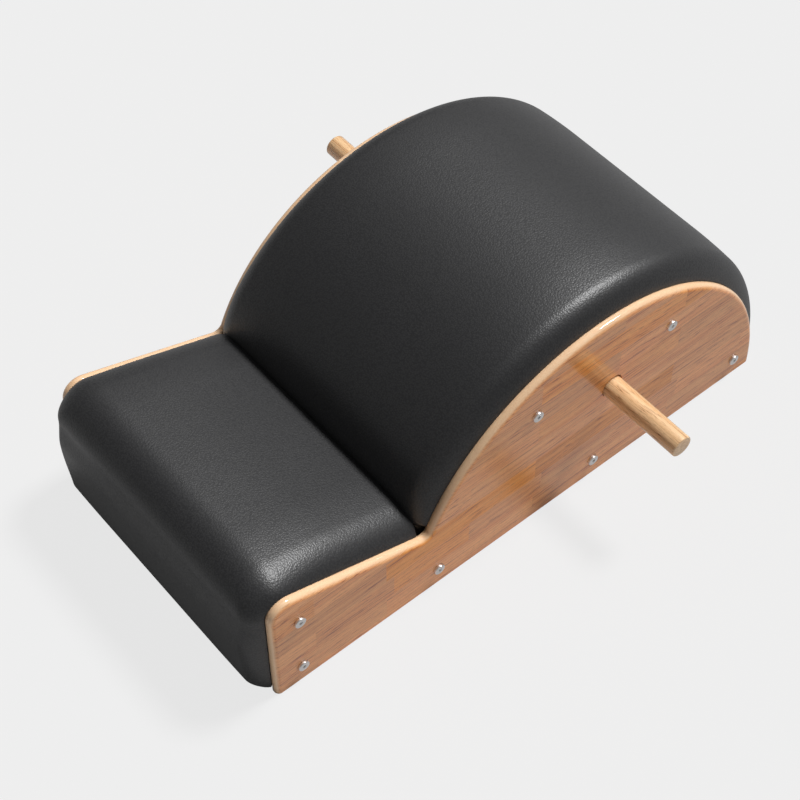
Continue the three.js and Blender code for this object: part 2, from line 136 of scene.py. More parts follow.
corner_height = slope_height(front_corner_radius, front_corner_radius)
corner_centre = Vector((front_corner_radius, corner_height))
crease_centre = slope_meets_arch(-crease_radius, arch_radius + crease_radius)
crease = slope_meets_arch(0, arch_radius)
crease_angle = angle_of(crease - arch_centre)
slope_angle = angle_of(out_of_slope)
print("The crease is", round(crease.x), "mm from the front end and", round(crease.y), "mm up")

# %% [markdown]
# ## Colours
#
# Colours are noted as sRGB hex values, as they'd be picked from a swatch. Shaders mix light, so
# they want linear values, and one function does the change.


# %% Turn a hex colour to linear
def colour(hex_code):
    """An sRGB hex colour, such as C89A68, as linear red, green, blue and alpha."""
    parts = [int(hex_code[i : i + 2], 16) / 255 for i in (0, 2, 4)]
    linear = [part / 12.92 if part <= 0.04045 else ((part + 0.055) / 1.055) ** 2.4
              for part in parts]
    return (*linear, 1.0)


black = colour("000000")
white = colour("FFFFFF")
print("C89A68 in linear light:", [round(part, 3) for part in colour("C89A68")])

# %% [markdown]
# ## Building materials
#
# A material is a small graph of nodes. One function adds a node, sets its options and inputs and
# links what is handed to it, so a material below reads from top to bottom like a recipe. A tuple
# or a number sets an input, and another node's output links to it.


# %% Add a node with its settings and links
def add(tree, kind, inputs=None, **options):
    """A new node of a kind, with its options set and its inputs set or linked."""
    made = tree.nodes.new("ShaderNode" + kind)
    for name, value in options.items():
        setattr(made, name, value)
    for name, value in (inputs or {}).items():
        if isinstance(value, bpy.types.NodeSocket):
            tree.links.new(value, made.inputs[name])
        else:
            made.inputs[name].default_value = value
    return made


def new_material(name):
    """An empty material and its tree."""
    material = bpy.data.materials.new(name)
    material.use_nodes = True
    tree = material.node_tree
    tree.nodes.clear()
    return material, tree


# Blender's noise goes from 0 to 1, but nearly all of it lies between these two values.
noise_low, noise_high = 0.3, 0.7
print("Noise is read from", noise_low, "to", noise_high)

# %% [markdown]
# ## Leathercloth
#
# Exercise apparatus is covered in leathercloth: a knitted cloth with a soft vinyl or polyurethane
# face, embossed with a fine pebble like that of calf leather and sealed with a thin clear top
# coat. The eye reads it by two kinds of gloss: a broad, dull sheen from the soft face, and a
# tighter highlight from the top coat, which the pebbles break up into grain. So the shader has a
# rough base and a coat, and the bump of the pebbles goes to the coat in full and to the base in
# part. Real pebbles are nearer 1 mm, but those would be too fine to show, so they are drawn at
# 2.2 mm. The grooves between them get a painted shade: their colour is a little darker. Vinyl and
# its top coat have an index of refraction near 1.5. A matt face starts at a roughness of 0.5 and a
# satin coat at 0.3, and both were then matched to the width of the highlights.

# %% Leathercloth material
pebble = 2.2 * mm
pebble_height = 0.36 * mm
pebble_blend = 0.3                       # how far neighbouring pebbles melt together
pebble_dome = 0.8                        # fall from a pebble's top to its groove
# The grooves get a painted shade, which starts and is full at these distances from a pebble's
# middle.
groove_shade_start, groove_shade_full = 0.25, 0.7    # distances from a pebble's middle, in pebbles
mottle = 0.7 * mm                        # the cloth's own unevenness on the pebbles
mottle_share = 0.12                      # of a pebble's height
stretch_patch = 90 * mm                  # patches where the cover is stretched more or less
base_share = 0.4                         # share of the bump that the soft face shows


def charcoal_leathercloth():
    """Embossed polyurethane leathercloth in charcoal black, with a clear top coat."""
    material, tree = new_material("charcoal_leathercloth")
    place = add(tree, "TexCoord").outputs["Object"]
    cells = add(tree, "TexVoronoi", {"Vector": place, "Scale": 1 / pebble,
                                     "Smoothness": pebble_blend},
                feature="SMOOTH_F1").outputs["Distance"]
    fine = add(tree, "TexNoise", {"Vector": place, "Scale": 1 / mottle, "Detail": 1.0}).outputs[0]
    broad = add(tree, "TexNoise", {"Vector": place, "Scale": 1 / stretch_patch,
                                   "Detail": 1.0}).outputs[0]
    rise = add(tree, "Math", {0: fine, 1: mottle_share, 2: 1.0},
               operation="MULTIPLY_ADD").outputs[0]
    height = add(tree, "Math", {0: cells, 1: -pebble_dome, 2: rise},
                 operation="MULTIPLY_ADD").outputs[0]
    embossed = add(tree, "Bump", {"Height": height, "Strength": 1.0,
                                  "Distance": pebble_height}).outputs[0]
    softened = add(tree, "Bump", {"Height": height, "Strength": base_share,
                                  "Distance": pebble_height}).outputs[0]
    # Painted shade: the grooves between the pebbles are mixed toward a darker tone, 18181A.
    painted_groove_shade = add(tree, "MapRange", {"Value": cells, "From Min": groove_shade_start,
                                    "From Max": groove_shade_full}).outputs[0]
    patch = add(tree, "MapRange", {"Value": broad, "From Min": noise_low,
                                   "From Max": noise_high}).outputs[0]
    face = add(tree, "Mix", {"Factor": patch, "A": colour("272728"), "B": colour("2B2B2C")},
               data_type="RGBA").outputs["Result"]
    base = add(tree, "Mix", {"Factor": painted_groove_shade, "A": face, "B": colour("18181A")},
               data_type="RGBA").outputs["Result"]
    gloss = add(tree, "MapRange", {"Value": cells, "To Min": 0.5, "To Max": 0.64}).outputs[0]
    shader = add(tree, "BsdfPrincipled", {
        "Base Color": base,
        "Roughness": gloss,
        "Specular IOR Level": 0.42,
        "Normal": softened,
        "Coat Weight": 0.58,
        "Coat Roughness": 0.36,
        "Coat IOR": 1.5,
        "Coat Normal": embossed,
    })
    add(tree, "OutputMaterial", {"Surface": shader.outputs[0]})
    return material


leathercloth = charcoal_leathercloth()
print("Made", leathercloth.name)

# %% [markdown]
# ## Lacquered hardwood: the staves
#
# The panels are solid board: staves about 36 mm wide, laid with the grain along the panel, butted
# end to end and glued edge to edge. Each stave was cut from another place in the tree, so grain
# and tone jump at every joint. A picture of wood would repeat, and would stretch over the rounded
# rim, so the board is made of nodes that know where in the board a point lies. The first step
# finds the point's stave: its row by the height, and then its place along the row, where some
# rows have staves of double length. White noise gives each stave random values of its own.

# %% Random values for each stave
stave_width = 36.4 * mm
lowest_joint = 9 * mm
short_stave = 118 * mm
short_rows = 0.45    # share of the rows that have short staves
stagger = 0.9        # how far every second row is moved along, in short staves


def stave_values(tree, place, seed):
    """A random colour and a random number, each the same all over a stave."""
    parts = add(tree, "SeparateXYZ", {"Vector": place}).outputs
    height = add(tree, "Math", {0: parts["Z"], 1: lowest_joint}, operation="SUBTRACT").outputs[0]
    rows_up = add(tree, "Math", {0: height, 1: stave_width}, operation="DIVIDE").outputs[0]
    row = add(tree, "Math", {0: rows_up}, operation="FLOOR").outputs[0]
    ticket = add(tree, "Math", {0: row, 1: seed}, operation="ADD").outputs[0]
    drawn = add(tree, "TexWhiteNoise", {"W": ticket}, noise_dimensions="1D").outputs["Value"]
    is_long = add(tree, "Math", {0: drawn, 1: short_rows}, operation="GREATER_THAN").outputs[0]
    units = add(tree, "Math", {0: is_long, 1: 1.0}, operation="ADD").outputs[0]
    length = add(tree, "Math", {0: units, 1: short_stave}, operation="MULTIPLY").outputs[0]
    is_odd = add(tree, "Math", {0: row, 1: 1.0}, operation="PINGPONG").outputs[0]
    moved = add(tree, "Math", {0: is_odd, 1: stagger}, operation="MULTIPLY").outputs[0]
    shift = add(tree, "Math", {0: moved, 1: short_stave}, operation="MULTIPLY").outputs[0]
    run = add(tree, "Math", {0: parts["X"], 1: shift}, operation="ADD").outputs[0]
    staves_along = add(tree, "Math", {0: run, 1: length}, operation="DIVIDE").outputs[0]
    along = add(tree, "Math", {0: staves_along}, operation="FLOOR").outputs[0]
    spot = add(tree, "CombineXYZ", {"X": along, "Y": row, "Z": float(seed)}).outputs[0]
    stave = add(tree, "TexWhiteNoise", {"Vector": spot}, noise_dimensions="3D").outputs
    return stave["Color"], stave["Value"]


print("Staves are", round(short_stave / mm), "or", round(2 * short_stave / mm), "mm long")

# %% [markdown]
# ## Lacquered hardwood: the rings
#
# Inside a stave the grain is the tree's rings, cut lengthwise. So the texture moves each point to
# a random place near a tree's heart, and takes its distance from the heart. The heart sways a
# little along its length, and the rings are flatter than circles. Each ring is pale early wood
# that ends in a thin dark line of late wood. Streaks make the rings uneven, so that a line
# thickens, thins and fades as it does in sawn wood.

# %% Distance from the tree's heart
heart_spread = (0.9, 0.05, 0.4)    # how far apart the staves' places in the tree are, in metres
sway_scale = (5.0, 9.0, 9.0)       # sways in each metre
sway_reach = (0.0, 0.03, 0.03)     # how far the heart moves at most, in metres
ring_shape = (0.0, 0.25, 1.0)      # rings have no length, and are four times as wide as high


def heart_distance(tree, place, offset):
    """A point's place in its tree, and its distance from the tree's heart."""
    spread = add(tree, "VectorMath", {0: offset, 1: heart_spread}, operation="MULTIPLY").outputs[0]
    moved = add(tree, "VectorMath", {0: place, 1: spread}, operation="ADD").outputs[0]
    slow = add(tree, "VectorMath", {0: moved, 1: sway_scale}, operation="MULTIPLY").outputs[0]
    sway = add(tree, "TexNoise", {"Vector": slow, "Scale": 1.0, "Detail": 1.0}).outputs["Color"]
    pushed = add(tree, "VectorMath", {0: sway, 1: sway_reach, 2: moved},
                 operation="MULTIPLY_ADD").outputs[0]
    across = add(tree, "VectorMath", {0: pushed, 1: ring_shape}, operation="MULTIPLY").outputs[0]
    return moved, add(tree, "VectorMath", {0: across}, operation="LENGTH").outputs["Value"]


print("The staves come from up to", heart_spread[0], "m apart along the tree")

# %% [markdown]
# ## Lacquered hardwood: the dark lines
#
# Counting the rings out from the heart and keeping only the fraction gives each point its place
# within a ring. A colour ramp turns that into the late wood: it rises slowly, because the wood
# gets denser towards the end of a year's growth, and stops at once where the next ring begins.

# %% Dark lines of late wood
ring_wander = 4.0         # rings that the streaks push a line by, at most
late_wood_start = 0.74    # these three are shares of a ring
late_wood_full = 0.92
late_wood_end = 0.985


def late_wood(tree, distance, ring_width, streaks):
    """The late wood of the rings: 1 on its line and 0 in the early wood."""
    rings_out = add(tree, "Math", {0: distance, 1: ring_width}, operation="DIVIDE").outputs[0]
    uneven = add(tree, "Math", {0: streaks, 1: ring_wander, 2: rings_out},
                 operation="MULTIPLY_ADD").outputs[0]
    within = add(tree, "Math", {0: uneven}, operation="FRACT").outputs[0]
    late = add(tree, "ValToRGB", {"Fac": within})
    stops = late.color_ramp.elements
    stops[0].position, stops[0].color = late_wood_start, black
    stops[1].position, stops[1].color = late_wood_full, white
    stops.new(late_wood_end).color = black
    return late.outputs[0]


print("Late wood takes", round(100 * (1 - late_wood_start)), "% of a ring")

# %% [markdown]
# ## Lacquered hardwood: the colour of cut wood
#
# Over the rings lie finer marks: soft streaks, in which the tone and the strength of the lines
# drift, and short dark ticks, which are open pores. All are noise that is stretched along the
# grain. Three tones are enough, a pale one, a deeper one and that of the late wood. The fibres
# come out too, because a finish below uses them again.

# %% Colours of cut wood
fibre_width = 0.7 * mm
pore_width = 0.45 * mm
streak_scale = 0.12 / fibre_width           # streaks are about eight fibres wide
streak_low, streak_high = 0.35, 0.65
along_fibres = (0.02, 1.0, 1.0)             # fibres are 50 times as long as wide
along_pores = (0.07, 1.0, 1.0)              # pores are 14 times as long as wide
faintest_line, line_drift = 0.5, 0.8        # strength of a line, and what the streaks add to it
pore_start, pore_full = 0.5, 0.7
pore_depth = 0.4                            # how near the ticks come to the late wood's tone


def wood_colours(tree, place, offset, tones, ring_width, lines=0.75):
    """The colour of cut wood in three tones, and its fibres."""
    moved, distance = heart_distance(tree, place, offset)
    grain = add(tree, "VectorMath", {0: moved, 1: along_fibres}, operation="MULTIPLY").outputs[0]
    streaks = add(tree, "TexNoise", {"Vector": grain, "Scale": streak_scale,
                                     "Detail": 4.0}).outputs[0]
    fibres = add(tree, "TexNoise", {"Vector": grain, "Scale": 1 / fibre_width,
                                    "Detail": 3.0}).outputs[0]
    drift = add(tree, "MapRange", {"Value": streaks, "From Min": streak_low,
                                   "From Max": streak_high}).outputs[0]
    late = late_wood(tree, distance, ring_width, streaks)
    weight = add(tree, "Math", {0: drift, 1: line_drift, 2: faintest_line},
                 operation="MULTIPLY_ADD").outputs[0]
    line = add(tree, "Math", {0: late, 1: weight}, operation="MULTIPLY").outputs[0]
    shown = add(tree, "Math", {0: line, 1: lines}, operation="MULTIPLY").outputs[0]
    early = add(tree, "Mix", {"Factor": drift, "A": colour(tones[0]), "B": colour(tones[1])},
                data_type="RGBA").outputs["Result"]
    lined = add(tree, "Mix", {"Factor": shown, "A": early, "B": colour(tones[2])},
                data_type="RGBA").outputs["Result"]
    short = add(tree, "VectorMath", {0: moved, 1: along_pores}, operation="MULTIPLY").outputs[0]
    pores = add(tree, "TexNoise", {"Vector": short, "Scale": 1 / pore_width,
                                   "Detail": 1.0}).outputs[0]
    ticks = add(tree, "MapRange", {"Value": pores, "From Min": pore_start, "From Max": pore_full,
                                   "To Min": 0.0, "To Max": pore_depth}).outputs[0]
    flecked = add(tree, "Mix", {"Factor": ticks, "A": lined, "B": colour(tones[2])},
                  data_type="RGBA").outputs["Result"]
    return flecked, fibres


print("Fibres are", fibre_width / mm, "mm wide and pores", pore_width / mm, "mm")

# %% [markdown]
# ## Lacquered hardwood: the finished board
#
# The board puts these together, and gives every stave its own lightness and warmth. A clear,
# glossy lacquer gives two reflections: a broad one from the wood under it and a sharp one from
# its own surface, which is the shader's coat. The router and the sandpaper leave the rounded rims
# duller than the faces, and the rims get fainter lines. They are also painted paler: a painted
# sheen for the light on the rounded edge. The rim is found by how far a point lies in from the
# panel's outer face, so the inner face, which the pads hide, gets the rim's finish and painted
# sheen too.
# Lacquer has an index of refraction of 1.5, and a gloss one a roughness of 0.05 or less.

# %% Lacquered board material
panel_ring_width = 5.2 * mm
rim_start, rim_full = 0.3, 2.5          # millimetres in from the outer face
face_lines, rim_lines = 0.95, 0.22      # how strongly the late wood shows
stave_dark, stave_light = 0.88, 1.1
warm_start, warm_full = 0.75, 0.95      # only the staves whose random number is high are warmer
warmth = 1.14
fibre_dark, fibre_light = 0.94, 1.06
faintest_painted_sheen = 0.55                     # the painted sheen's share on a rim's faintest fibres
rim_dullness = 0.2                      # what sanding adds to the roughness


def lacquered_board(name, seed):
    """Edge-glued hardwood board under clear glossy lacquer, with a painted sheen on its rims."""
    material, tree = new_material(name)
    place = add(tree, "TexCoord").outputs["Object"]
    side = add(tree, "SeparateXYZ", {"Vector": place}).outputs["Y"]
    out = add(tree, "Math", {0: side}, operation="ABSOLUTE").outputs[0]
    rim = add(tree, "MapRange", {"Value": out, "From Min": (overall_width / 2 - rim_start) * mm,
                                 "From Max": (overall_width / 2 - rim_full) * mm}).outputs[0]
    lines = add(tree, "MapRange", {"Value": rim, "To Min": face_lines,
                                   "To Max": rim_lines}).outputs[0]
    offset, pick = stave_values(tree, place, seed)
    wood, fibres = wood_colours(tree, place, offset, ("FFB674", "ED9A5A", "A04A22"),
                                panel_ring_width, lines)
    third = add(tree, "SeparateColor", {"Color": offset}).outputs[2]
    warm = add(tree, "MapRange", {"Value": third, "From Min": warm_start, "From Max": warm_full,
                                  "To Min": 1.0, "To Max": warmth}).outputs[0]
    light = add(tree, "MapRange", {"Value": pick, "To Min": stave_dark,
                                   "To Max": stave_light}).outputs[0]
    fine = add(tree, "MapRange", {"Value": fibres, "From Min": noise_low, "From Max": noise_high,
                                  "To Min": fibre_dark, "To Max": fibre_light}).outputs[0]
    tone = add(tree, "Math", {0: light, 1: fine}, operation="MULTIPLY").outputs[0]
    toned = add(tree, "HueSaturation", {"Saturation": warm, "Value": tone,
                                        "Color": wood}).outputs[0]
    # Painted sheen: the rims are mixed toward a pale tone, FFDCB4, unevenly over the fibres, for
    # the light's sheen on the rounded edge.
    uneven = add(tree, "MapRange", {"Value": fibres, "From Min": noise_low,
                                    "From Max": noise_high, "To Min": faintest_painted_sheen,
                                    "To Max": 1.0}).outputs[0]
    pale = add(tree, "Math", {0: rim, 1: uneven}, operation="MULTIPLY").outputs[0]
    with_painted_sheen = add(tree, "Mix", {"Factor": pale, "A": toned, "B": colour("FFDCB4")},
                 data_type="RGBA").outputs["Result"]
    gloss = add(tree, "MapRange", {"Value": fibres, "To Min": 0.3, "To Max": 0.44}).outputs[0]
    dull = add(tree, "Math", {0: rim, 1: rim_dullness, 2: gloss},
               operation="MULTIPLY_ADD").outputs[0]
    shader = add(tree, "BsdfPrincipled", {
        "Base Color": with_painted_sheen,
        "Roughness": dull,
        "Specular IOR Level": 0.3,
        "IOR": 1.5,
        "Coat Weight": 1.0,
        "Coat Roughness": 0.05,
        "Coat IOR": 1.5,
    })
    add(tree, "OutputMaterial", {"Surface": shader.outputs[0]})
    return material


board_right = lacquered_board("lacquered_hardwood_board_right", seed=3)
board_left = lacquered_board("lacquered_hardwood_board_left", seed=11)
print("Made", board_right.name, "and", board_left.name)

# %% [markdown]
# ## The rod's wood
#
# The handle is turned from one straight-grained length, so it has no staves. Its rings run along
# Y, and its heart lies outside the rod, which draws long, slightly swaying lines. The wood
# functions above take X as the grain's direction, so X and Y change places first.

# %% Turned rod material
rod_ring_width = 3.4 * mm
rod_in_tree = (0.31, 0.42, 0.12)


def turned_rod_wood():
    """A turned hardwood rod under clear glossy lacquer."""
    material, tree = new_material("lacquered_turned_hardwood")
    place = add(tree, "TexCoord").outputs["Object"]
    parts = add(tree, "SeparateXYZ", {"Vector": place}).outputs
    turned = add(tree, "CombineXYZ", {"X": parts["Y"], "Y": parts["X"],
                                      "Z": parts["Z"]}).outputs[0]
    wood, fibres = wood_colours(tree, turned, rod_in_tree, ("FFD8A6", "F0C28E", "A0663A"),
                                rod_ring_width)
    gloss = add(tree, "MapRange", {"Value": fibres, "To Min": 0.34, "To Max": 0.46}).outputs[0]
    shader = add(tree, "BsdfPrincipled", {
        "Base Color": wood,
        "Roughness": gloss,
        "IOR": 1.5,
        "Coat Weight": 1.0,
        "Coat Roughness": 0.06,
        "Coat IOR": 1.5,
    })
    add(tree, "OutputMaterial", {"Surface": shader.outputs[0]})
    return material


rod_wood = turned_rod_wood()
print("Made", rod_wood.name)

# %% [markdown]
# ## Wood under the pads
#
# Nobody sees the rails in use, so they are planed softwood without lacquer: dull, pale and
# straight-grained, with the grain along Y. The wood functions are used once more, with a ring
# width of their own, yellower tones and no coat.

# %% Planed softwood material
softwood_ring_width = 4.0 * mm
rails_in_tree = (0.11, 0.81, 0.62)


def planed_softwood():
    """Planed softwood with no finish."""
    material, tree = new_material("planed_softwood")
    place = add(tree, "TexCoord").outputs["Object"]
    parts = add(tree, "SeparateXYZ", {"Vector": place}).outputs
    turned = add(tree, "CombineXYZ", {"X": parts["Y"], "Y": parts["X"],
                                      "Z": parts["Z"]}).outputs[0]
    wood, fibres = wood_colours(tree, turned, rails_in_tree, ("DDBE92", "D3AF7E", "AD7F4F"),
                                softwood_ring_width)
    gloss = add(tree, "MapRange", {"Value": fibres, "To Min": 0.6, "To Max": 0.8}).outputs[0]
    shader = add(tree, "BsdfPrincipled", {"Base Color": wood, "Roughness": gloss, "IOR": 1.5})
    add(tree, "OutputMaterial", {"Surface": shader.outputs[0]})
    return material


softwood = planed_softwood()
print("Made", softwood.name)

# %% [markdown]
# ## Plywood
#
# The boards under the foam are birch plywood: thin sheets glued up crosswise and sanded. Its
# edges show the plies, each second one darker, because there the fibres end. The plies follow
# each board's form, so the material takes a distance from the board's own face, or from the
# arch's axis where the board is bent, and counts the plies in it.

# %% Birch plywood material
ply_thickness = 1.5 * mm
ply_fibre_scale = 0.5 / fibre_width    # sanding blurs the fibres to twice their width
along_ply = (1.0, 0.05, 1.0)           # the face's fibres run along Y
dark_ply_share = 0.45


def birch_plywood(name, centre, normal):
    """Sanded birch plywood, its plies along a plane, or about an axis where no normal is given."""
    material, tree = new_material(name)
    place = add(tree, "TexCoord").outputs["Object"]
    from_centre = add(tree, "VectorMath", {0: place, 1: centre}, operation="SUBTRACT").outputs[0]
    if normal:
        depth = add(tree, "VectorMath", {0: from_centre, 1: normal},
                    operation="DOT_PRODUCT").outputs["Value"]
    else:
        flat = add(tree, "VectorMath", {0: from_centre, 1: (1, 0, 1)},
                   operation="MULTIPLY").outputs[0]
        depth = add(tree, "VectorMath", {0: flat}, operation="LENGTH").outputs["Value"]
    plies_in = add(tree, "Math", {0: depth, 1: ply_thickness}, operation="DIVIDE").outputs[0]
    ply = add(tree, "Math", {0: plies_in}, operation="FLOOR").outputs[0]
    is_dark = add(tree, "Math", {0: ply, 1: 1.0}, operation="PINGPONG").outputs[0]
    darker = add(tree, "Math", {0: is_dark, 1: dark_ply_share}, operation="MULTIPLY").outputs[0]
    grain = add(tree, "VectorMath", {0: place, 1: along_ply}, operation="MULTIPLY").outputs[0]
    fibres = add(tree, "TexNoise", {"Vector": grain, "Scale": ply_fibre_scale,
                                    "Detail": 3.0}).outputs[0]
    pale = add(tree, "Mix", {"Factor": fibres, "A": colour("DCC39A"), "B": colour("CBAA7A")},
               data_type="RGBA").outputs["Result"]
    plied = add(tree, "Mix", {"Factor": darker, "A": pale, "B": colour("9A7046")},
                data_type="RGBA").outputs["Result"]
    gloss = add(tree, "MapRange", {"Value": fibres, "To Min": 0.55, "To Max": 0.75}).outputs[0]
    shader = add(tree, "BsdfPrincipled", {"Base Color": plied, "Roughness": gloss, "IOR": 1.5})
    add(tree, "OutputMaterial", {"Surface": shader.outputs[0]})
    return material


bent_plies = birch_plywood("birch_plywood_bent", at(arch_x, 0, 0), None)
step_plies = birch_plywood("birch_plywood_step", at(0, 0, step_height),
                           (out_of_slope.x, 0, out_of_slope.y))
front_plies = birch_plywood("birch_plywood_front", at(0, 0, 0), (1, 0, 0))
print("Made", bent_plies.name + ",", step_plies.name, "and", front_plies.name)

# %% [markdown]
# ## Plated steel and zinc
#
# The bolts are nickel-plated steel: a metal with a slightly milky, satin reflection. The threaded
# inserts are zinc die castings, darker, duller and a warm grey. Satin nickel has a roughness of
# about 0.3, and cast zinc 0.4. Both get a faint cloudiness in tone and gloss, because a perfectly
# even metal looks like a drawing.

# %% Plated metal materials
plating_cloud = 9 * mm
cloud_dark, cloud_light = 0.97, 1.03


def plated_metal(name, hex_code, smoothest, roughest):
    """A metal whose gloss varies between two roughnesses."""
    material, tree = new_material(name)
    place = add(tree, "TexCoord").outputs["Object"]
    cloud = add(tree, "TexNoise", {"Vector": place, "Scale": 1 / plating_cloud,
                                   "Detail": 2.0}).outputs[0]
    tone = add(tree, "MapRange", {"Value": cloud, "To Min": cloud_dark,
                                  "To Max": cloud_light}).outputs[0]
    tint = add(tree, "HueSaturation", {"Value": tone, "Color": colour(hex_code)}).outputs[0]
    gloss = add(tree, "MapRange", {"Value": cloud, "To Min": smoothest,
                                   "To Max": roughest}).outputs[0]
    shader = add(tree, "BsdfPrincipled", {"Base Color": tint, "Metallic": 1.0,
                                          "Roughness": gloss})
    add(tree, "OutputMaterial", {"Surface": shader.outputs[0]})
    return material


nickel = plated_metal("nickel_plated_steel", "F4F4F4", smoothest=0.26, roughest=0.34)
zinc = plated_metal("zinc_die_casting", "B8B8B2", smoothest=0.35, roughest=0.5)
print("Made", nickel.name, "and", zinc.name)

# %% [markdown]
# ## Making a piece
#
# Every modelled piece is a mesh made from a list of points and faces. One function builds the
# mesh, shades it smooth but for its hard edges, and hangs it on the body that it moves with. A
# second one makes the points and faces of a loft, which is a skin drawn over rings.

# %% Make a piece from points and faces
weld_distance = 1e-6    # metres


def new_piece(name, points, faces, material, slot, body="frame", hard_edge=40):
    """A smooth-shaded mesh from points in millimetres, riding on a body."""
    mesh = bpy.data.meshes.new(name)
    mesh.from_pydata([at(*point) for point in points], [], faces)
    work = bmesh.new()
    work.from_mesh(mesh)
    bmesh.ops.remove_doubles(work, verts=work.verts, dist=weld_distance)
    bmesh.ops.recalc_face_normals(work, faces=work.faces)
    work.to_mesh(mesh)
    work.free()
    mesh.materials.append(material)
    mesh.shade_smooth()
    mesh.set_sharp_from_angle(angle=math.radians(hard_edge))
    piece = bpy.data.objects.new(name, mesh)
    bpy.context.scene.collection.objects.link(piece)
    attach(piece, body)
    return piece


def loft(rings):
    """The points and faces of a skin over closed rings, with a cap on the first and the last."""
    count = len(rings[0])
    points = [point for ring in rings for point in ring]
    last = (len(rings) - 1) * count
    faces = []
    for start in range(0, last, count):
        for j in range(count):
            k = (j + 1) % count
            faces.append((start + j, start + k, start + count + k, start + count + j))
    faces.append(tuple(reversed(range(count))))
    faces.append(tuple(range(last, last + count)))
    return points, faces


print("Points closer than", weld_distance / mm, "mm are joined")

# %% [markdown]
# ## The pads' section
#
# Each pad is foam under a tight cover. Its skin rises from the gap beside the panel, rolls over a
# lip onto the panel's rounded rim, turns through a soft shoulder, and crowns gently to the middle.
# A cloth simulation would give folds, and a tight cover has none, so the pads are lofts: that one
# section, carried along the outline with its height swelling and sinking on the way. A section is
# a list of places across and heights over the panel's rim. Its shoulder is part of an ellipse.

# %% One section of a pad
cover_thickness = 1.6
cover_skirt = 10                      # how far the cover hangs down beside its board
soft_gap = 0.8                        # room between the cover and the panel
pad_swell = 4.6                       # how far the lip rolls out over the rim
shoulder_lean = math.radians(18)      # the shoulder leaves the lip leaning in, not upright
soft_reach = 90                       # the crown rises over this far from the lip

lip_points = 6
shoulder_points = 22
crown_points = 24


def pad_section(station):
    """A pad's section as places across and heights over the rim, from one side to the other."""
    wall = inner_width / 2 - soft_gap
    inner = wall - cover_thickness
    lip_radius = rim_round + soft_gap
    lip_turn = station["swell"] * math.acos(1 - pad_swell / lip_radius)
    bed = -station["bed"]
    skirt = bed - station["skirt"]
    half = [(inner, bed), (inner, skirt), (wall, skirt), (wall, bed)]
    for turn in steps_between(0, lip_turn, lip_points):
        rolled = wall + lip_radius * (1 - math.cos(turn))
        half.append((rolled, lip_radius * math.sin(turn) - rim_round))
    lip_y, lip_height = half[-1]
    top = station["full"] * station["crown"]
    flat = lip_y - station["shoulder"]
    reach = station["shoulder"] / math.cos(shoulder_lean)
    drop = (top - lip_height) / (1 - math.sin(shoulder_lean))
    curve = [(flat + reach * math.cos(turn), top - drop * (1 - math.sin(turn)))
             for turn in steps_between(shoulder_lean, math.pi / 2, shoulder_points)[1:]]
    curve += [(flat * (1 - share), top) for share in steps_between(0, 1, crown_points)[1:]]
    for y, height in curve:
        soft = 1 - max(0, 1 - (lip_y - y) / soft_reach) ** 2
        half.append((y, height + station["full"] * station["rise"] * soft))
    return half + [(-y, height) for y, height in reversed(half[:-1])]


print("A pad's lip reaches", round(pad_swell - soft_gap, 1), "mm out over the panel's rim")

# %% [markdown]
# ## Stations along a pad
#
# A station is one place along a pad: where it is on the outline, how it is turned, how full the
# pad is there, and where its bed on the board lies. Setting the section up at each station gives
# the rings of the loft. A place above the bed goes out from the outline, and one at or below it
# goes down from the board, which has a corner where the outline is round.

# %% Set sections up at stations
def station(place, angle, form, full, swell, bed_place, bed_out, skirt=cover_skirt):
    """One place along a pad: where it is, how it is turned and how full it is there."""
    crown, rise, shoulder = form
    return {"place": place, "angle": angle, "crown": crown, "rise": rise, "shoulder": shoulder,
            "full": full, "swell": swell, "bed": (place - bed_place).length,
            "bed_place": bed_place, "bed_out": bed_out, "skirt": skirt}


def pad_rings(stations):
    """A pad's sections set up along its line, as rings of points."""
    rings = []
    for station in stations:
        ring = []
        for y, height in pad_section(station):
            place = around(station["place"], station["angle"], height)
            if height <= -station["bed"]:
                below = -station["bed"] - height
                place = station["bed_place"] - below * station["bed_out"]
            ring.append((place.x, y, place.y))
        rings.append(ring)
    return rings


print("A pad's skirt hangs", cover_skirt, "mm down beside its board")

# %% [markdown]
# ## The pads' ends
#
# Near its ends a pad loses height on a quarter circle, which is the wrap of the cover round the
# foam's end. Beside the crease the lip over the rim fades out, because there both covers are
# drawn down between the panels.

# %% How full a pad is at its ends and in the crease
pad_lift = 2               # height of the pads' ends over the floor
pad_end_round = 22
lip_end_round = 5          # the lip comes to its full roll sooner than the pad
end_points = 26
crease_fade = 6            # the lip starts this far from the crease, and takes as much to grow


def smooth(value):
    """A share from 0 to 1 that starts and ends gently."""
    value = min(max(value, 0), 1)
    return value * value * (3 - 2 * value)


def end_fullness(distance, rounding=pad_end_round):
    """The share of its height that a pad has at a distance from its end."""
    return math.sqrt(1 - max(0, 1 - distance / rounding) ** 2)


def end_distance(share):
    """A distance from a pad's end, with the steps finest at the end itself."""
    return pad_end_round * (1 - math.cos(math.pi / 2 * share))


def crease_swell(distance):
    """The share of its lip that a pad has at a distance from the crease."""
    return smooth((distance - crease_fade) / crease_fade)


print("5 mm from its end a pad has", round(100 * end_fullness(5)), "% of its height")

# %% [markdown]
# ## The step pad
#
# This pad climbs the front end, goes round the nose and down the slope, and rolls into the
# crease. A form is three lengths: the crown's height over the rim, its further rise towards the
# middle, and the shoulder's width. The front face comes first. It has a slight belly, because
# foam that is pulled tight at the floor and the nose swells between them.

# %% The step pad's front face
front_seat = 12             # depth of the front board's face under the outline
front_crown = 21.7
front_belly = 5.6
front_belly_height = 108
front_rise = 1.2
front_shoulder = 22
front_points = 30
to_front = Vector((-1, 0))


def belly_share(z):
    """The belly's share of the front face at a height: none at the floor and the nose."""
    nose = corner_centre.y
    way = z / front_belly_height
    if z >= front_belly_height:
        way = (nose - z) / (nose - front_belly_height)
    return (1 - math.cos(math.pi * way)) / 2


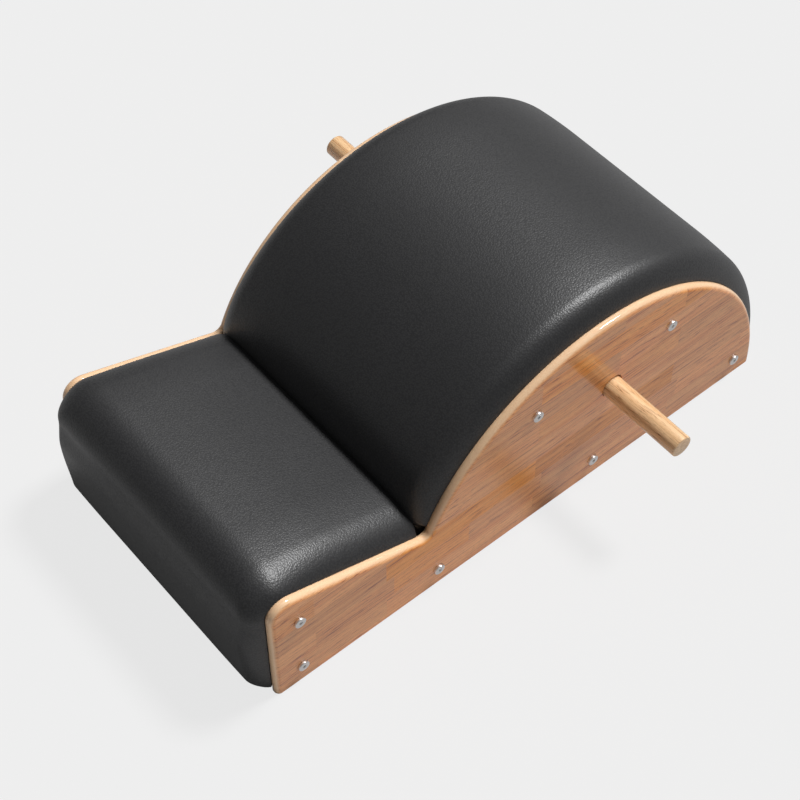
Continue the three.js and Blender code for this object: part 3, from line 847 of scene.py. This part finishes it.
def front_stations():
    """Up the front end, from the rounded foot to where the nose begins."""
    heights = []
    for share in steps_between(0, 1, end_points):
        distance = end_distance(share)
        heights.append((pad_lift + distance, end_fullness(distance),
                        end_fullness(distance, lip_end_round)))
    for z in steps_between(pad_lift + pad_end_round, corner_centre.y, front_points)[1:-1]:
        heights.append((z, 1, 1))
    stations = []
    for z, full, swell in heights:
        form = (front_crown + front_belly * belly_share(z), front_rise, front_shoulder)
        bed = Vector((front_seat, z))
        stations.append(station(Vector((0, z)), math.pi, form, full, swell, bed, to_front))
    return stations


print("The front face has", len(front_stations()), "stations, and each section",
      len(pad_section(front_stations()[0])), "points")

# %% [markdown]
# ## The step pad's nose
#
# The nose is where the cover is pulled round the front corner. Its form changes on the way from
# the front face's to the slope's, on smooth steps, so no edge shows where they meet. The pull
# lowers the foam a little behind the nose. That sag fades down the slope, and inside the nose one
# more term, with the slope of the sag at its end, keeps the skin from bending there in a kink.

# %% The step pad's nose
top_seat = 18                # depth of the step board's face under the outline
step_crown = 20.5
step_rise = 7.5
step_shoulder = 43
nose_sag = 6.5               # how much lower the crown is right behind the nose
nose_reach = 90              # how far down the slope the sag goes
shoulder_haste = 1.6         # the shoulder widens faster than the nose turns
nose_points = 30


def nose_stations():
    """Round the front corner, from the front face's form to the slope's."""
    bed_corner = Vector((front_seat, slope_height(front_seat, top_seat)))
    sag_turn = 2 * nose_sag / nose_reach * front_corner_radius * (math.pi - slope_angle)
    stations = []
    for share in steps_between(0, 1, nose_points):
        angle = math.pi + (slope_angle - math.pi) * share
        turned = smooth(share)
        widened = smooth(shoulder_haste * share)
        crown = front_crown + (step_crown - nose_sag - front_crown) * turned
        form = (crown - sag_turn * share**2 * (1 - share),
                front_rise + (step_rise - front_rise) * turned,
                front_shoulder + (step_shoulder - front_shoulder) * widened)
        place = around(corner_centre, angle, front_corner_radius)
        bed_out = (to_front * (1 - share) + out_of_slope * share).normalized()
        stations.append(station(place, angle, form, 1, 1, bed_corner, bed_out))
    return stations


print("The nose turns by", round(math.degrees(math.pi - slope_angle)), "degrees")

# %% [markdown]
# ## The step pad's slope
#
# Down the slope the form stays the same but for the fading sag. At the crease the cover rolls
# over on a quarter circle and sinks, and that soft roll is what makes the dark line between the
# pads. Then a straight tail goes on, for a later step to cut.

# %% The step pad's slope, and its roll into the crease
crease_back = 9              # the roll ends this far before the crease
crease_roll = 12
crease_sink = 9
slope_points = 40
roll_points = 20
tail_points = 10             # the tail lies under the barrel pad and is cut away later


def slope_stations(nose_end):
    """Down the slope and over the roll. Runs are counted from the crease, and grow rearward."""
    roll_start = -(crease_back + crease_roll)
    runs = steps_between(nose_end, roll_start, slope_points)[1:]
    sinks = [0] * len(runs)
    for turn in steps_between(0, math.pi / 2, roll_points)[1:]:
        runs.append(roll_start + crease_roll * math.sin(turn))
        sinks.append(crease_sink * (1 - math.cos(turn)))
    for run in steps_between(-crease_back, 2 * top_seat, tail_points)[1:]:
        runs.append(run)
        sinks.append(crease_sink)
    stations = []
    for run, sink in zip(runs, sinks):
        place = crease + run * down_slope
        bed = place - top_seat * out_of_slope
        full = 1 - sink / (step_crown + step_rise)
        sag = nose_sag * max(0, 1 - (run - nose_end) / nose_reach) ** 2
        form = (step_crown - sag, step_rise, step_shoulder)
        stations.append(station(place, slope_angle, form, full, crease_swell(-run), bed,
                                out_of_slope))
    return stations


def step_pad_stations():
    """Up the front end, round the nose, down the slope and over the roll into the crease."""
    stations = front_stations() + nose_stations()
    nose_end = (stations[-1]["place"] - crease).dot(down_slope)
    return stations + slope_stations(nose_end)


print("The step pad has", len(step_pad_stations()), "stations")

# %% [markdown]
# ## The barrel pad
#
# This pad starts under the crease, goes over the half round and ends just above the floor. Near
# the crease the cover is drawn down, so the crown is lower there. At the rear foot the cover's
# skirt fades out, because a rail stands there. The same stations, grown by a hair of room and
# made much deeper, also give the tool that later cuts the step pad to fit.

# %% Stations of the barrel pad
barrel_crown = 26
barrel_rise = 5.8
barrel_shoulder = 31
bed_radius = arch_radius - top_seat
rear_rail_top = 46
crease_draw = 15                       # how much lower the crown is at the crease
crease_reach = 80                      # how far up the arch that goes
draw_points = 50
arch_stations = 110
hidden_start = math.radians(0.4)       # the pad starts this far short of its bed's corner
barrel_end = pad_lift / arch_radius    # an angle too, up from the rear foot


def barrel_angles(room):
    """The stations' angles about the arch's centre, finest near the crease and the rear end."""
    corner = angle_of(slope_meets_arch(top_seat, bed_radius) - arch_centre) + room / arch_radius
    drawn_end = crease_angle - crease_reach / arch_radius
    rounded = barrel_end + pad_end_round / arch_radius
    angles = steps_between(corner - hidden_start, drawn_end, draw_points)
    angles += steps_between(drawn_end, rounded, arch_stations)[1:]
    return angles + [barrel_end + end_distance(share) / arch_radius
                     for share in steps_between(1, 0, end_points)[1:]]


def barrel_pad_stations(room=0, depth=0):
    """From under the crease over the arch to the rear end, grown by some room and made deeper."""
    stations = []
    for angle in barrel_angles(room):
        from_crease = (crease_angle - angle) * arch_radius
        reached = min(max((from_crease - crease_back) / crease_reach, 0), 1)
        drawn = crease_draw * (1 - reached) ** 2 / (barrel_crown + barrel_rise)
        from_end = (angle - barrel_end) * arch_radius
        full = end_fullness(from_end) * (1 - drawn)
        swell = end_fullness(from_end, lip_end_round) * crease_swell(from_crease)
        place = around(arch_centre, angle, arch_radius)
        bed = around(arch_centre, angle, bed_radius - depth)
        outward = around(Vector((0, 0)), angle, 1)
        skirt = cover_skirt
        if angle < math.pi / 2:
            skirt = cover_skirt * smooth((bed.y - rear_rail_top) / cover_skirt)
        form = (barrel_crown + room, barrel_rise, barrel_shoulder)
        stations.append(station(place, angle, form, full, swell, bed, outward, skirt))
    return stations


print("The barrel pad has", len(barrel_pad_stations()), "stations")

# %% [markdown]
# ## Where the pads meet
#
# On the real object the two pads press against each other in the crease. Here the step pad's tail
# first runs on into the barrel pad, and a boolean with the grown copy of the barrel pad cuts it
# off, half a millimetre clear. The exact solver is the one for such long, glancing cuts. Both
# pads are soft.

# %% Build the pads
pad_room = 0.5
cut_depth = 60
cut_edge = math.radians(40)    # a sharper edge than this stays sharp in the shading


def cut_away(piece, cutter_points, cutter_faces):
    """Cut a closed form out of a piece, and leave nothing of the cutter."""
    mesh = bpy.data.meshes.new("cutter")
    mesh.from_pydata([at(*point) for point in cutter_points], [], cutter_faces)
    cutter = bpy.data.objects.new("cutter", mesh)
    bpy.context.scene.collection.objects.link(cutter)
    cut = piece.modifiers.new("cut", "BOOLEAN")
    cut.operation = "DIFFERENCE"
    cut.solver = "EXACT"
    cut.object = cutter
    bpy.context.view_layer.update()
    evaluated = piece.evaluated_get(bpy.context.evaluated_depsgraph_get())
    result = bpy.data.meshes.new_from_object(evaluated)
    piece.modifiers.clear()
    piece.data = result
    result.set_sharp_from_angle(angle=cut_edge)
    bpy.data.objects.remove(cutter)


barrel_loft = loft(pad_rings(barrel_pad_stations()))
step_loft = loft(pad_rings(step_pad_stations()))
barrel_pad = new_piece("barrel_pad", *barrel_loft, leathercloth, "leathercloth")
step_pad = new_piece("step_pad", *step_loft, leathercloth, "leathercloth")
cut_away(step_pad, *loft(pad_rings(barrel_pad_stations(pad_room, cut_depth))))
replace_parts(barrel_pad, "barrel_cover", "barrel_foam")
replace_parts(step_pad, "step_cover", "step_foam")
print("Pads:", len(barrel_pad.data.polygons), "and", len(step_pad.data.polygons), "faces")

# %% [markdown]
# ## The side panels
#
# A panel is sawn from board and its edge is rounded over with a router, all but the foot, which is
# sawn flat. A bevel modifier could round the edge, but here the rounding is drawn as rings of the
# outline, each moved in a little as it moves out towards the face, which keeps its curve exact.

# %% Rings of the panel's outline
arch_points = 160
corner_points = 24
crease_points = 12
hole_points = 64


def panel_ring(inset):
    """The panel's outline, moved in by an inset, from the front foot round to the rear foot."""
    arch_start = angle_of(crease_centre - arch_centre)
    ring = [Vector((inset, 0))]
    for angle in steps_between(math.pi, slope_angle, corner_points):
        ring.append(around(corner_centre, angle, front_corner_radius - inset))
    for angle in steps_between(slope_angle - math.pi, arch_start - math.pi, crease_points):
        ring.append(around(crease_centre, angle, crease_radius + inset))
    for angle in steps_between(arch_start, 0, arch_points)[1:]:
        ring.append(around(arch_centre, angle, arch_radius - inset))
    return ring


def circle(x, z, radius, count=hole_points):
    """Points round a hole."""
    return [around(Vector((x, z)), 2 * math.pi * i / count, radius) for i in range(count)]


print("The outline has", len(panel_ring(0)), "points")

# %% [markdown]
# ## The holes
#
# Every hole is a circle of exact points. The rod is loose, so it lies at the bottom of its hole,
# which is wider than the rod. The bolts' holes are just wider than their shanks. The model's
# boxes of the rod and the bolts say where each hole goes.

# %% The holes in a panel
hair_gap = 0.3              # between parts that touch on the real object
rod_clearance = 1.5
bolt_hole_radius = 3.5
bolt_hole_points = 24
bolt_names = sorted({name[len("bolt_"):-len("_right")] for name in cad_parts
                     if name.startswith("bolt_") and name.endswith("_right")})


def axis_of(node):
    """Where a node's middle is along the panel and up, in millimetres."""
    low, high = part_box(node)
    middle = (low + high) / 2
    return (middle.x - front_end) / mm, middle.z / mm


rod_x, rod_z = axis_of("handle_rod")
rod_low, rod_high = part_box("handle_rod")
rod_radius = (rod_high.x - rod_low.x) / mm / 2


def panel_holes(side):
    """The rod's hole and the bolts' holes in one panel."""
    holes = [circle(rod_x, rod_z + rod_clearance - hair_gap, rod_radius + rod_clearance)]
    for name in bolt_names:
        holes.append(circle(*axis_of(f"bolt_{name}_{side}"), bolt_hole_radius, bolt_hole_points))
    return holes


print("Bolts in each panel:", len(bolt_names), " Rod:", round(2 * rod_radius, 1), "mm across")

# %% [markdown]
# ## The panels' faces
#
# A flat face with eight holes can't be one polygon. A boolean could cut the holes, but it adds
# points of its own round them. A constrained triangulation takes the outline and the circles as
# edges that must stay, and fills the rest. What falls inside a hole is left out.

# %% Fill a flat face round its holes
weld_flat = 1e-6            # millimetres
only_inside = 1             # the triangulation's code for leaving out what lies outside
inside_hole = 0.999         # a triangle's middle nearer than this share of the radius is inside


def filled(outline, holes):
    """Triangles of a flat face with holes, as points and triples."""
    points = list(outline)
    loops = [list(range(len(outline)))]
    rounds = []
    for hole in holes:
        start = len(points)
        points += hole
        loops.append(list(range(start, len(points))))
        centre = sum(hole, Vector((0, 0))) / len(hole)
        rounds.append((centre, (hole[0] - centre).length))
    edges = [(loop[i - 1], loop[i]) for loop in loops for i in range(len(loop))]
    found = delaunay_2d_cdt(points, edges, [loops[0]], only_inside, weld_flat)
    places, triangles = found[0], found[2]
    kept = []
    for triangle in triangles:
        middle = sum((places[i] for i in triangle), Vector((0, 0))) / len(triangle)
        if all((middle - centre).length > radius * inside_hole for centre, radius in rounds):
            kept.append(tuple(triangle))
    return places, kept


print("Each face has", len(panel_holes("right")), "holes")

# %% [markdown]
# ## The panels' edge
#
# The edge goes from face to face: a quarter circle, the straight middle and a quarter circle
# again. Carrying it round the outline gives the rim, and one more face closes the flat foot. With
# both faces and the walls of the holes that makes one closed mesh, as a real board is one body.

# %% Build the side panels
rim_points = 8
support_inset = rim_round + 1.0    # a ring of points just inside the rim keeps the face flat


def rim_profile():
    """The panel's edge from face to face, as insets and places out from the panel's middle."""
    half = panel_thickness / 2
    profile = [(rim_round * (1 - math.sin(turn)), half - rim_round + rim_round * math.cos(turn))
               for turn in steps_between(0, math.pi / 2, rim_points)]
    profile += [(inset, -out) for inset, out in reversed(profile)]
    return [(support_inset, half)] + profile + [(support_inset, -half)]


def panel_edge(middle):
    """The points and faces of a panel's rounded edge and its flat foot."""
    rings = [[(place.x, middle + out, place.y) for place in panel_ring(inset)]
             for inset, out in rim_profile()]
    count = len(rings[0])
    starts = [ring * count for ring in range(len(rings))]
    faces = [(a, a + 1, a + count + 1, a + count)
             for start in starts[:-1] for a in range(start, start + count - 1)]
    faces.append(tuple(starts + [start + count - 1 for start in reversed(starts)]))
    return [point for ring in rings for point in ring], faces


def side_panel(side, facing, material):
    """One side panel, with its rounded rim and its holes."""
    half = panel_thickness / 2
    middle = facing * (overall_width / 2 - half)
    points, faces = panel_edge(middle)
    holes = panel_holes(side)
    places, triangles = filled(panel_ring(support_inset), holes)
    for out in (half, -half):
        start = len(points)
        points += [(place.x, middle + out, place.y) for place in places]
        faces += [tuple(start + i for i in triangle) for triangle in triangles]
    for hole in holes:
        start, size = len(points), len(hole)
        for out in (half, -half):
            points += [(place.x, middle + out, place.y) for place in hole]
        for i in range(size):
            k = (i + 1) % size
            faces.append((start + i, start + k, start + size + k, start + size + i))
    piece = new_piece(f"panel_{side}", points, faces, material, "panel_wood")
    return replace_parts(piece, f"side_panel_{side}")


panel_right = side_panel("right", -1, board_right)
panel_left = side_panel("left", 1, board_left)
print("Panels:", len(panel_right.data.polygons), "and", len(panel_left.data.polygons), "faces")

# %% [markdown]
# ## The handle rod
#
# The rod is a turned dowel. Its ends are eased with sandpaper, which leaves a small round and not
# a crisp chamfer, so the profile has a quarter circle there. A primitive cylinder has no such
# ends, so this is a loft too.

# %% Build the handle rod
rod_ease = 1.8
rod_points = 96
rod_ease_points = 6
rod_steps = 24


def rod_rings():
    """Rings along the rod, from the right end to the left end."""
    right_end = rod_low.y / mm
    left_end = rod_high.y / mm
    eased = [(rod_radius - rod_ease + rod_ease * math.sin(turn),
              rod_ease * (1 - math.cos(turn)))
             for turn in steps_between(0, math.pi / 2, rod_ease_points)]
    profile = [(radius, right_end + inward) for radius, inward in eased]
    profile += [(rod_radius, y) for y in steps_between(right_end + rod_ease,
                                                       left_end - rod_ease, rod_steps)[1:-1]]
    profile += [(radius, left_end - inward) for radius, inward in reversed(eased)]
    return [[(place.x, y, place.y) for place in circle(rod_x, rod_z, radius, rod_points)]
            for radius, y in profile]


rod = new_piece("turned_rod", *loft(rod_rings()), rod_wood, "rod_wood", body="handle")
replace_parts(rod, "handle_rod")
print("Rod:", len(rod.data.polygons), "faces")

# %% [markdown]
# ## The connector bolts
#
# A furniture connector bolt has a wide, flat head with an eased edge and a hexagon socket. The
# head is turned, so it is a profile spun about the bolt's axis. The socket is a straight
# hexagonal wall that goes down to a shallow cone, as a broached socket does. Its rings have the
# same number of points as the round ones, only moved out to a hexagon's sides, so one loft covers
# the whole bolt.

# %% Shape of a connector bolt
head_radius = 7.7
head_height = 3.0
head_ease = 0.9
head_ease_points = 5
head_flat = 0.2           # a narrow ring inside the eased edge keeps the top flat
shank_radius = 3.0
socket_across = 4.6
socket_depth = 2.0
socket_rim = 0.9          # a round ring outside the hexagon, which evens out its shading
socket_ease = 0.25
cone_depth = 0.5
cone_tip = 0.2
head_points = 48
hexagon = 6


def bolt_ring(centre, facing, radius, out, sides=0):
    """A ring about a bolt's axis, a distance out of the panel: round, or a hexagon's sides."""
    x, face_y, z = centre
    ring = []
    for i in range(head_points):
        angle = 2 * math.pi * i / head_points
        reach = radius
        if sides:
            sector = math.pi / sides
            reach = radius / math.cos((angle % (2 * sector)) - sector)
        ring.append((x + reach * math.cos(angle), face_y + facing * out,
                     z + reach * math.sin(angle)))
    return ring


def bolt_loft(centre, facing):
    """Points and faces of a bolt whose head stands on a panel's face."""
    half_socket = socket_across / 2
    bottom = head_height - socket_depth
    rings = [(shank_radius, -panel_thickness), (shank_radius, 0), (head_radius, 0)]
    for turn in steps_between(0, math.pi / 2, head_ease_points):
        rings.append((head_radius - head_ease * (1 - math.cos(turn)),
                      head_height - head_ease * (1 - math.sin(turn))))
    rings += [
        (head_radius - head_ease - head_flat, head_height),
        (half_socket + socket_rim, head_height),
        (half_socket + socket_ease, head_height, hexagon),
        (half_socket, head_height - socket_ease, hexagon),
        (half_socket, bottom, hexagon),
        (cone_tip, bottom - cone_depth),
    ]
    return loft([bolt_ring(centre, facing, *ring) for ring in rings])


print("Bolt heads are", 2 * head_radius, "mm across")

# %% Build the connector bolts
for side, facing in (("right", -1), ("left", 1)):
    for name in bolt_names:
        x, z = axis_of(f"bolt_{name}_{side}")
        centre = (x, facing * (overall_width / 2 + hair_gap), z)
        bolt = new_piece(f"connector_bolt_{name}_{side}", *bolt_loft(centre, facing), nickel,
                         "bolt_plating", hard_edge=30)
        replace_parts(bolt, f"bolt_{name}_{side}")
print("Bolts:", 2 * len(bolt_names))

# %% [markdown]
# ## The model's own pieces that stay
#
# Rails, boards, the cleat and the inserts already have their right shape, so they only get their
# finish: the material in their slot is swapped.


# %% Dress the pieces that stay
def dress(node, material):
    """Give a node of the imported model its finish."""
    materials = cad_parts[node].data.materials
    materials.clear()
    materials.append(material)


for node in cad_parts:
    if node.startswith("rail_") or node == "step_cleat":
        dress(node, softwood)
    if node.startswith("insert_"):
        dress(node, zinc)
dress("barrel_board", bent_plies)
dress("step_board", step_plies)
dress("front_board", front_plies)
print("Dressed the rails, the cleat, the inserts and three boards")

# %% [markdown]
# ## Floor
#
# The photograph is a plain studio shot on an even, pale ground. A lit floor alone would be uneven
# and grey, so the camera sees nine tenths of it as a glow in the backdrop's own tone, and the rest
# as a diffuse sheet that takes the object's shadow. Mirror rays see a little of the glow too, over
# a darker sheet. If they saw it in full, the sheen on the black leather would turn grey.

# %% Build the floor
backdrop = "EFEFEF"
floor_side = 20.0           # metres
camera_share = 0.9
mirror_share = 0.12


def floor_material():
    """A pale studio floor that takes a soft shadow."""
    material, tree = new_material("pale_studio_floor")
    ray = add(tree, "LightPath").outputs
    tone = add(tree, "Mix", {"Factor": ray["Is Glossy Ray"], "A": colour("E2E2E2"),
                             "B": colour("9C9C9C")}, data_type="RGBA").outputs["Result"]
    matt = add(tree, "BsdfDiffuse", {"Color": tone}).outputs[0]
    glow = add(tree, "Emission", {"Color": colour(backdrop), "Strength": 1.0}).outputs[0]
    seen = add(tree, "Math", {0: ray["Is Camera Ray"], 1: camera_share},
               operation="MULTIPLY").outputs[0]
    mirror = add(tree, "Math", {0: ray["Is Glossy Ray"], 1: ray["Is Transmission Ray"]},
                 operation="MAXIMUM").outputs[0]
    mirrored = add(tree, "Math", {0: mirror, 1: mirror_share}, operation="MULTIPLY").outputs[0]
    share = add(tree, "Math", {0: seen, 1: mirrored}, operation="MAXIMUM").outputs[0]
    mixed = add(tree, "MixShader", {0: share, 1: matt, 2: glow}).outputs[0]
    add(tree, "OutputMaterial", {"Surface": mixed})
    return material


half = floor_side / 2
floor_mesh = bpy.data.meshes.new("floor")
floor_mesh.from_pydata([(-half, -half, 0), (half, -half, 0), (half, half, 0), (-half, half, 0)],
                       [], [(0, 1, 2, 3)])
floor_mesh.materials.append(floor_material())
floor = bpy.data.objects.new("floor", floor_mesh)
bpy.context.scene.collection.objects.link(floor)
print("The floor is", floor_side, "m square")

# %% [markdown]
# ## World
#
# The world is the studio's walls. They fill the shadows only a little, because the photograph's
# blacks are deep. The camera sees them in the backdrop's tone, and mirror rays in part, for the
# same reason as on the floor.

# %% Build the world
fill_strength = 0.05
world_mirror_share = 0.2

world = bpy.data.worlds.new("studio")
bpy.context.scene.world = world
world.use_nodes = True
sky = world.node_tree
sky.nodes.clear()
fill = add(sky, "Background", {"Color": white, "Strength": fill_strength}).outputs[0]
wall = add(sky, "Background", {"Color": colour(backdrop), "Strength": 1.0}).outputs[0]
ray = add(sky, "LightPath").outputs
mirror = add(sky, "Math", {0: ray["Is Glossy Ray"], 1: ray["Is Transmission Ray"]},
             operation="MAXIMUM").outputs[0]
mirrored = add(sky, "Math", {0: mirror, 1: world_mirror_share}, operation="MULTIPLY").outputs[0]
seen = add(sky, "Math", {0: ray["Is Camera Ray"], 1: mirrored}, operation="MAXIMUM").outputs[0]
sky_mix = add(sky, "MixShader", {0: seen, 1: fill, 2: wall}).outputs[0]
add(sky, "OutputWorld", {"Surface": sky_mix})
print("The world fills the shadows at", fill_strength)

# %% [markdown]
# ## Lamps
#
# A sun lamp shines the same on the whole object, whatever its distance, as a large studio light
# far away does. The key lamp stands high over the object's rear, and its width of 12 degrees gives
# the soft edge of the shadows. The other two are faint: a wide one that lifts the rear, and a
# narrow one from the near side that adds a glint.

# %% Build the lamps
lamps = {    # direction from the object, strength, and width in degrees
    "key_lamp": ((0.51, -0.05, 0.86), 3.6, 12),
    "rear_lamp": ((0.72, 0.26, 0.64), 0.04, 40),
    "glint_lamp": ((0.54, -0.65, 0.53), 0.005, 2),
}

for name, (towards, strength, spread) in lamps.items():
    light = bpy.data.lights.new(name, "SUN")
    light.energy = strength
    light.angle = math.radians(spread)
    lamp = bpy.data.objects.new(name, light)
    lamp.rotation_mode = "QUATERNION"
    lamp.rotation_quaternion = Vector(towards).to_track_quat("Z", "Y")
    bpy.context.scene.collection.objects.link(lamp)
print("Lamps:", ", ".join(lamps))

# %% [markdown]
# ## Camera
#
# The camera looks down on the step end from the front and the right. Its place, heading, dip and
# lens were found from the photograph's perspective: they are the ones that lay the panels'
# outlines, the bolts and the rod's ends where the photograph shows them.

# %% Build the camera
camera_place = (-553.9, -1104.5, 1911.4)    # millimetres, as all places here
camera_heading = math.radians(39.715)       # from the way to the left, turned to the rear
camera_dip = math.radians(52.207)
camera_lens = 81.93
sensor_width = 36

camera_data = bpy.data.cameras.new("camera")
camera_data.lens = camera_lens
camera_data.sensor_width = sensor_width
camera = bpy.data.objects.new("camera", camera_data)
camera.location = at(*camera_place)
looking = Vector((math.sin(camera_heading) * math.cos(camera_dip),
                  math.cos(camera_heading) * math.cos(camera_dip), -math.sin(camera_dip)))
camera.rotation_mode = "QUATERNION"
camera.rotation_quaternion = looking.to_track_quat("-Z", "Y")
bpy.context.scene.collection.objects.link(camera)
bpy.context.scene.camera = camera
bpy.context.scene.view_settings.view_transform = "Standard"
print("The camera is", round(camera.location.length, 2), "m from the origin")

# %% [markdown]
# ## Finish
#
# The last step brings the view layer up to date.

# %% Finish
bpy.context.view_layer.update()
